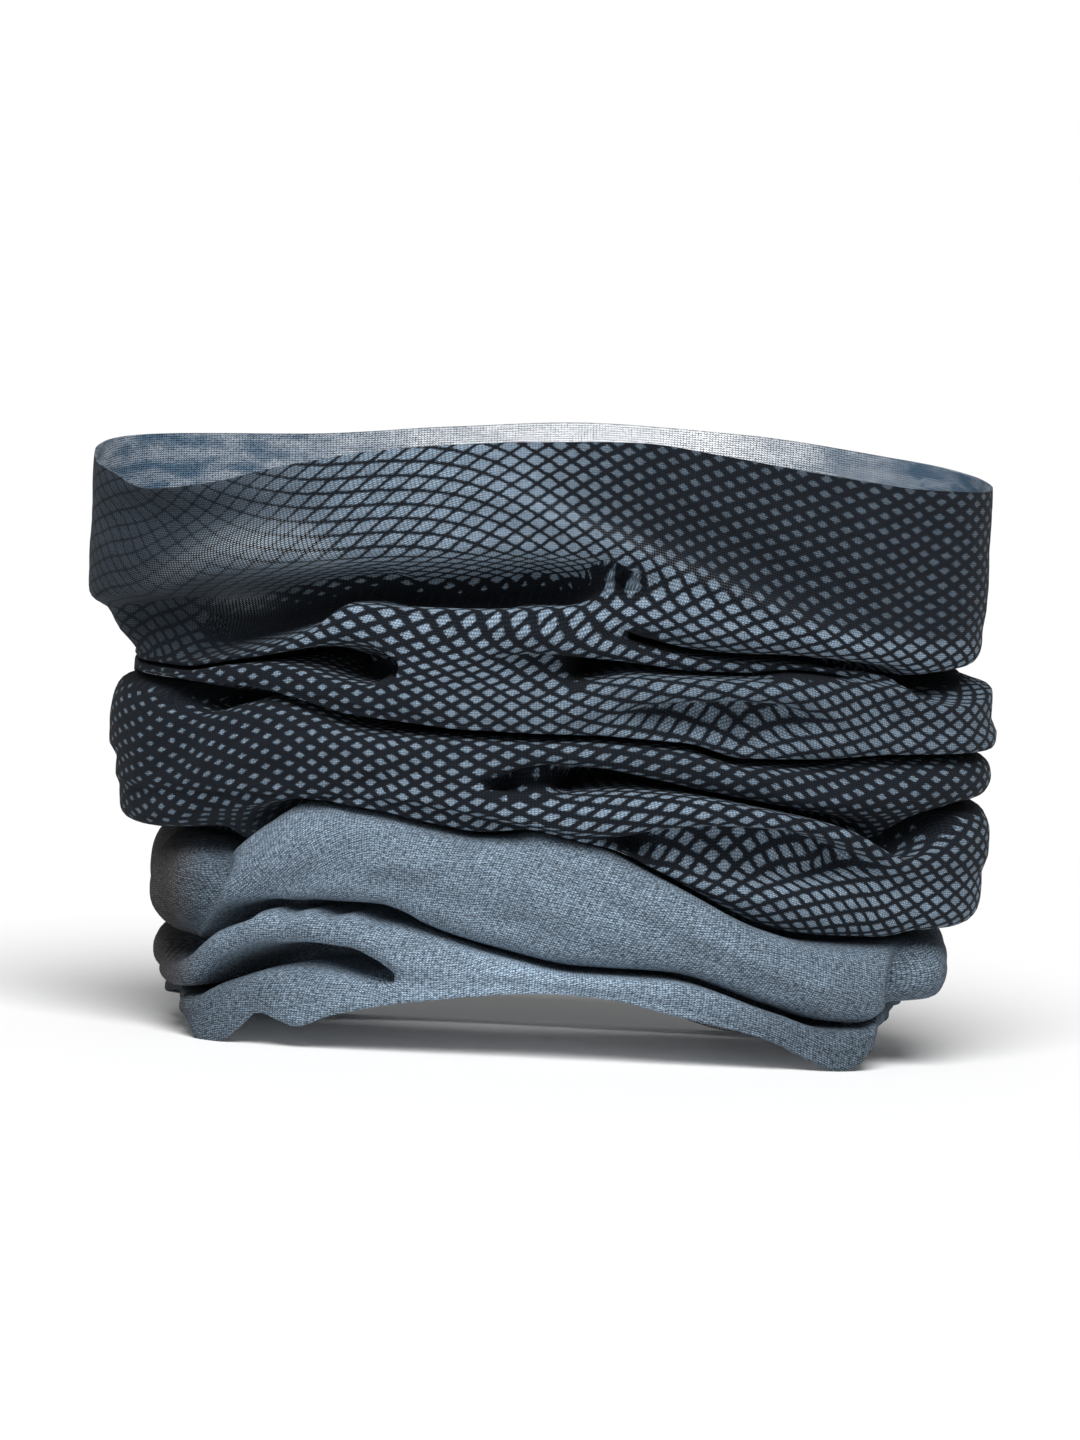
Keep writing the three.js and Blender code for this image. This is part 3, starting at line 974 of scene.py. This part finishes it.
def printed_knit(settings, knit, yarn):
    """The outside: printed scales above and plain melange blue below."""
    material, nodes, shader = new_material("printed_knit")
    cloth = nodes.uv("cloth")
    stitches = nodes.group(knit, cloth=cloth, wale=settings.wale, course=settings.course)
    flecks = nodes.group(yarn, cloth=cloth)
    mask = scale_mask(nodes, nodes.uv("print"), nodes.attribute("scale_size"), flecks["Fleck"])
    tone_and_shade = nodes.math("MULTIPLY", nodes.attribute("scale_tone_and_shade"), mask)
    tone_and_shade = nodes.math("MULTIPLY", tone_and_shade, nodes.remap(flecks["Fleck"], 0, 1, 0.56, 0.86))
    printed = nodes.mix(tone_and_shade, tuple(settings.ground), tuple(settings.scale))
    fleck = nodes.remap(flecks["Fleck"], 0, 1)
    plain = nodes.mix(fleck, shade(settings.plain, 0.4), shade(settings.plain, 1.6))
    grey = nodes.mix(flecks["Fleck"], *GREY_YARNS)
    plain = nodes.mix(nodes.attribute("greyness"), plain, grey)
    # The scale brightness multiplies the plain cloth too: painted shade towards the tube's ends,
    # painted light on the front middle.
    plain = nodes.mix(1.0, plain, nodes.attribute("scale_tone_and_shade"), blend="MULTIPLY")
    colour = nodes.mix(nodes.attribute("plain"), printed, plain)
    cloud = nodes.remap(flecks["Cloud"], 0, 1, 0.88, 1.1)
    # The stitches make the colour darker in the grooves between their columns and lighter on the loops:
    # painted shade and light of the knit's relief, times the clouds of dye.
    light = nodes.math("MULTIPLY", nodes.remap(stitches["Stitch"], 0, 1, 0.42, 1.5), cloud)
    colour = nodes.mix(1.0, colour, light, blend="MULTIPLY")
    dots = nodes.remap(stitches["Stitch"], 0.55, 0.9)
    bare = nodes.math("MULTIPLY", nodes.attribute("drawn"), dots)
    colour = nodes.mix(bare, colour, BASE_YARN)
    nodes.feed(shader.inputs["Base Color"], colour)
    nodes.feed(shader.inputs["Roughness"], nodes.remap(flecks["Fleck"], 0, 1, 0.82, 0.95))
    height = nodes.math("MULTIPLY_ADD", flecks["Fleck"], 0.3, stitches["Stitch"])
    bump(nodes, shader, height, RELIEF, 0.6)
    return material


def inner_knit(settings, knit, yarn):
    """The unprinted inside, with clouds of dye that came through."""
    material, nodes, shader = new_material("inner_knit", 0.92)
    cloth = nodes.uv("cloth")
    stitches = nodes.group(knit, cloth=cloth, wale=settings.wale, course=settings.course)
    flecks = nodes.group(yarn, cloth=cloth)
    clouded = nodes.math("MULTIPLY_ADD", flecks["Cloud"], 0.3, -0.15)
    pale = nodes.math("ADD", nodes.attribute("paleness"), clouded)
    base = nodes.mix(pale, INNER_BLUE, tuple(settings.inside))
    yarns = nodes.math("MULTIPLY_ADD", flecks["Fleck"], 0.5, stitches["Stitch"])
    # Flecks of the melange yarn, with painted shade and light of the stitches: darker in the grooves
    # between their columns.
    light = nodes.remap(yarns, 0.1, 1.1, 0.16, 1.64)
    colour = nodes.mix(1.0, base, light, blend="MULTIPLY")
    nodes.feed(shader.inputs["Base Color"], colour)
    bump(nodes, shader, yarns, RELIEF, 0.6)
    return material


def cut_edge(yarn):
    """The raw edges at the rim and the foot."""
    material, nodes, shader = new_material("cut_edge", 0.95)
    flecks = nodes.group(yarn, cloth=nodes.uv("cloth"))
    colour = nodes.mix(flecks["Fleck"], *EDGE_YARNS)
    nodes.feed(shader.inputs["Base Color"], colour)
    bump(nodes, shader, flecks["Fleck"], EDGE_RELIEF, 0.5)
    return material


def shade(colour, factor):
    """A colour made darker or brighter."""
    return (*(min(c * factor, 1) for c in colour[:3]), 1)


# The pieces and the stage.


def set_uv(mesh, name, across, down, round_length):
    """A UV map with the sheet's places. The last faces close on the first column, which counts
    there as one turn further on."""
    rows, columns = across.shape
    layer = mesh.uv_layers.new(name=name)
    corner = np.empty(len(mesh.loops), dtype=np.int32)
    mesh.loops.foreach_get("vertex_index", corner)
    row, column = corner // columns, corner % columns
    last = np.repeat(np.tile(np.arange(columns) == columns - 1, rows - 1), 4)
    wrapped = last & (column == 0)
    u = across[row, column] + np.where(wrapped, round_length, 0)
    layer.data.foreach_set("uv", np.stack([u, down[row, column]], -1).ravel())


def set_field(mesh, name, values):
    """A number at each point of the mesh, for the materials to read."""
    field = mesh.attributes.new(name, "FLOAT", "POINT")
    field.data.foreach_set("value", np.ascontiguousarray(values, dtype=np.float32).ravel())


class GaiterClothOperator(bpy.types.Operator):
    """Lays the gathered sheet, with its print and its knit"""

    bl_idname = "gaiter.cloth"
    bl_label = "Knitted Tube"

    def execute(self, context):
        settings = context.scene.gaiter_cloth
        colours = context.scene.gaiter_print
        sheet = Sheet(settings)
        rows = sheet.points.shape[0]
        row, column = np.mgrid[0:rows - 1, 0:COLUMNS]
        following = (column + 1) % COLUMNS
        corners = [row * COLUMNS + column, (row + 1) * COLUMNS + column,
                   (row + 1) * COLUMNS + following, row * COLUMNS + following]
        faces = np.stack(corners, -1).reshape(-1, 4)
        mesh = bpy.data.meshes.new("knitted_tube")
        mesh.from_pydata((sheet.points.reshape(-1, 3) * MM).tolist(), [], faces.tolist())
        mesh.update()
        mesh.polygons.foreach_set("use_smooth", [True] * len(mesh.polygons))
        across, down = drawn_cloth(sheet)
        set_uv(mesh, "cloth", across * MM, down * MM, sheet.round * MM)
        pitch = sheet.round / colours.scale_columns
        set_uv(mesh, "print", across / pitch, down * MM / colours.scale_height,
               colours.scale_columns)
        # The brightness of the scales carries painted shade as well as the print's own brightness.
        size, tone_and_shade, plain, greyness = scale_fields(sheet)
        pale = sheet.oval.line(PALENESS, 2)[None, :]
        for name, values in (
            ("scale_size", size), ("scale_tone_and_shade", tone_and_shade), ("plain", plain), ("paleness", pale),
            ("drawn", spots(DRAWN_THIN, sheet)), ("greyness", greyness),
        ):
            set_field(mesh, name, np.broadcast_to(values, sheet.v.shape))
        knit, yarn = knit_group(), yarn_group()
        for material in (
            printed_knit(colours, knit, yarn), inner_knit(colours, knit, yarn),
            cut_edge(yarn),
        ):
            mesh.materials.append(material)
        cloth = bpy.data.objects.new("knitted_tube", mesh)
        context.scene.collection.objects.link(cloth)
        wall = cloth.modifiers.new("thickness", "SOLIDIFY")
        wall.thickness = settings.thickness
        wall.offset = -1
        wall.material_offset = 1
        wall.material_offset_rim = 2
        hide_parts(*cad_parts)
        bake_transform(cloth)
        return {"FINISHED"}


# Sun lights: (name, direction towards the light, spread in degrees, strength).
LIGHTS = [
    ("key", (0.05, -0.7, 1.0), 40, 3.6),
    ("fill", (-0.2, -1.0, 0.2), 60, 0.35),
]
AIM_ABOVE = 0.0029  # the camera looks this far above the middle of the model
AMBIENT = 0.22
FLOOR_TONES = (0.86, 0.86, 0.86, 1), (0.9, 0.9, 0.9, 1)


class GaiterStageOperator(bpy.types.Operator):
    """Lays the pale floor, the soft lights and the camera"""

    bl_idname = "gaiter.stage"
    bl_label = "Stage"

    def execute(self, context):
        settings = context.scene.gaiter_stage
        bpy.ops.object.select_all(action="DESELECT")
        bpy.ops.mesh.primitive_plane_add(size=2 * settings.floor_radius)
        floor = context.object
        floor.name = "floor"
        material, nodes, shader = new_material("floor_paper")
        grain = nodes.noise(nodes.add("TexCoord").outputs["Object"], 900.0)
        nodes.feed(shader.inputs["Base Color"], nodes.mix(grain, *FLOOR_TONES))
        floor.data.materials.append(material)
        world = bpy.data.worlds.new("studio")
        world.use_nodes = True
        world.node_tree.nodes["Background"].inputs["Color"].default_value = (1, 1, 1, 1)
        world.node_tree.nodes["Background"].inputs["Strength"].default_value = AMBIENT
        context.scene.world = world
        context.scene.view_settings.view_transform = "Standard"
        for name, direction, spread, power in LIGHTS:
            lamp = bpy.data.lights.new(name, "SUN")
            lamp.energy = power
            lamp.angle = math.radians(spread)
            light = bpy.data.objects.new(name, lamp)
            light.rotation_euler = Vector(direction).to_track_quat("Z", "Y").to_euler()
            context.scene.collection.objects.link(light)
        self.add_camera(context, settings)
        return {"FINISHED"}

    def add_camera(self, context, settings):
        camera = bpy.data.cameras.new("camera")
        camera.sensor_width = 36
        camera.lens = camera.sensor_width * settings.distance / settings.view_height
        camera.clip_end = 100
        pitch, lean = settings.elevation, settings.lean
        back = Vector((0, -math.cos(pitch), math.sin(pitch)))
        up = Vector((0, math.sin(pitch), math.cos(pitch)))
        right = Vector((1, 0, 0))
        leaning_right = right * math.cos(lean) + up * math.sin(lean)
        leaning_up = up * math.cos(lean) - right * math.sin(lean)
        view = bpy.data.objects.new("camera", camera)
        middle = Vector((0, 0, (CAD_BOX[0][2] + CAD_BOX[1][2]) / 2 + AIM_ABOVE))
        view.location = middle + back * settings.distance
        view.rotation_euler = Matrix((leaning_right, leaning_up, back)).transposed().to_euler()
        context.scene.collection.objects.link(view)
        context.scene.camera = view


class GaiterPanel(bpy.types.Panel):
    """Lists the steps that make the gaiter"""

    bl_idname = "VIEW3D_PT_gaiter"
    bl_label = "Neck Gaiter"
    bl_space_type = "VIEW_3D"
    bl_region_type = "UI"
    bl_category = "Gaiter"

    def draw(self, context):
        for settings in (context.scene.gaiter_cloth, context.scene.gaiter_print,
                         context.scene.gaiter_stage):
            box = self.layout.box()
            for name in settings.bl_rna.properties.keys():
                if name not in ("rna_type", "name"):
                    box.prop(settings, name)
        for step in STEPS:
            self.layout.operator(step.bl_idname)


STEPS = (GaiterStageOperator, GaiterClothOperator)
SETTINGS = {
    "gaiter_cloth": GaiterClothSettings,
    "gaiter_print": GaiterPrintSettings,
    "gaiter_stage": GaiterStageSettings,
}


def register():
    for kind in (*SETTINGS.values(), *STEPS, GaiterPanel):
        bpy.utils.register_class(kind)
    for name, kind in SETTINGS.items():
        setattr(bpy.types.Scene, name, PointerProperty(type=kind))


def unregister():
    for name in SETTINGS:
        delattr(bpy.types.Scene, name)
    for kind in (GaiterPanel, *reversed(STEPS), *reversed(SETTINGS.values())):
        bpy.utils.unregister_class(kind)


def main():
    register()
    bpy.ops.gaiter.stage()
    bpy.ops.gaiter.cloth()


if __name__ == "__main__":
    main()
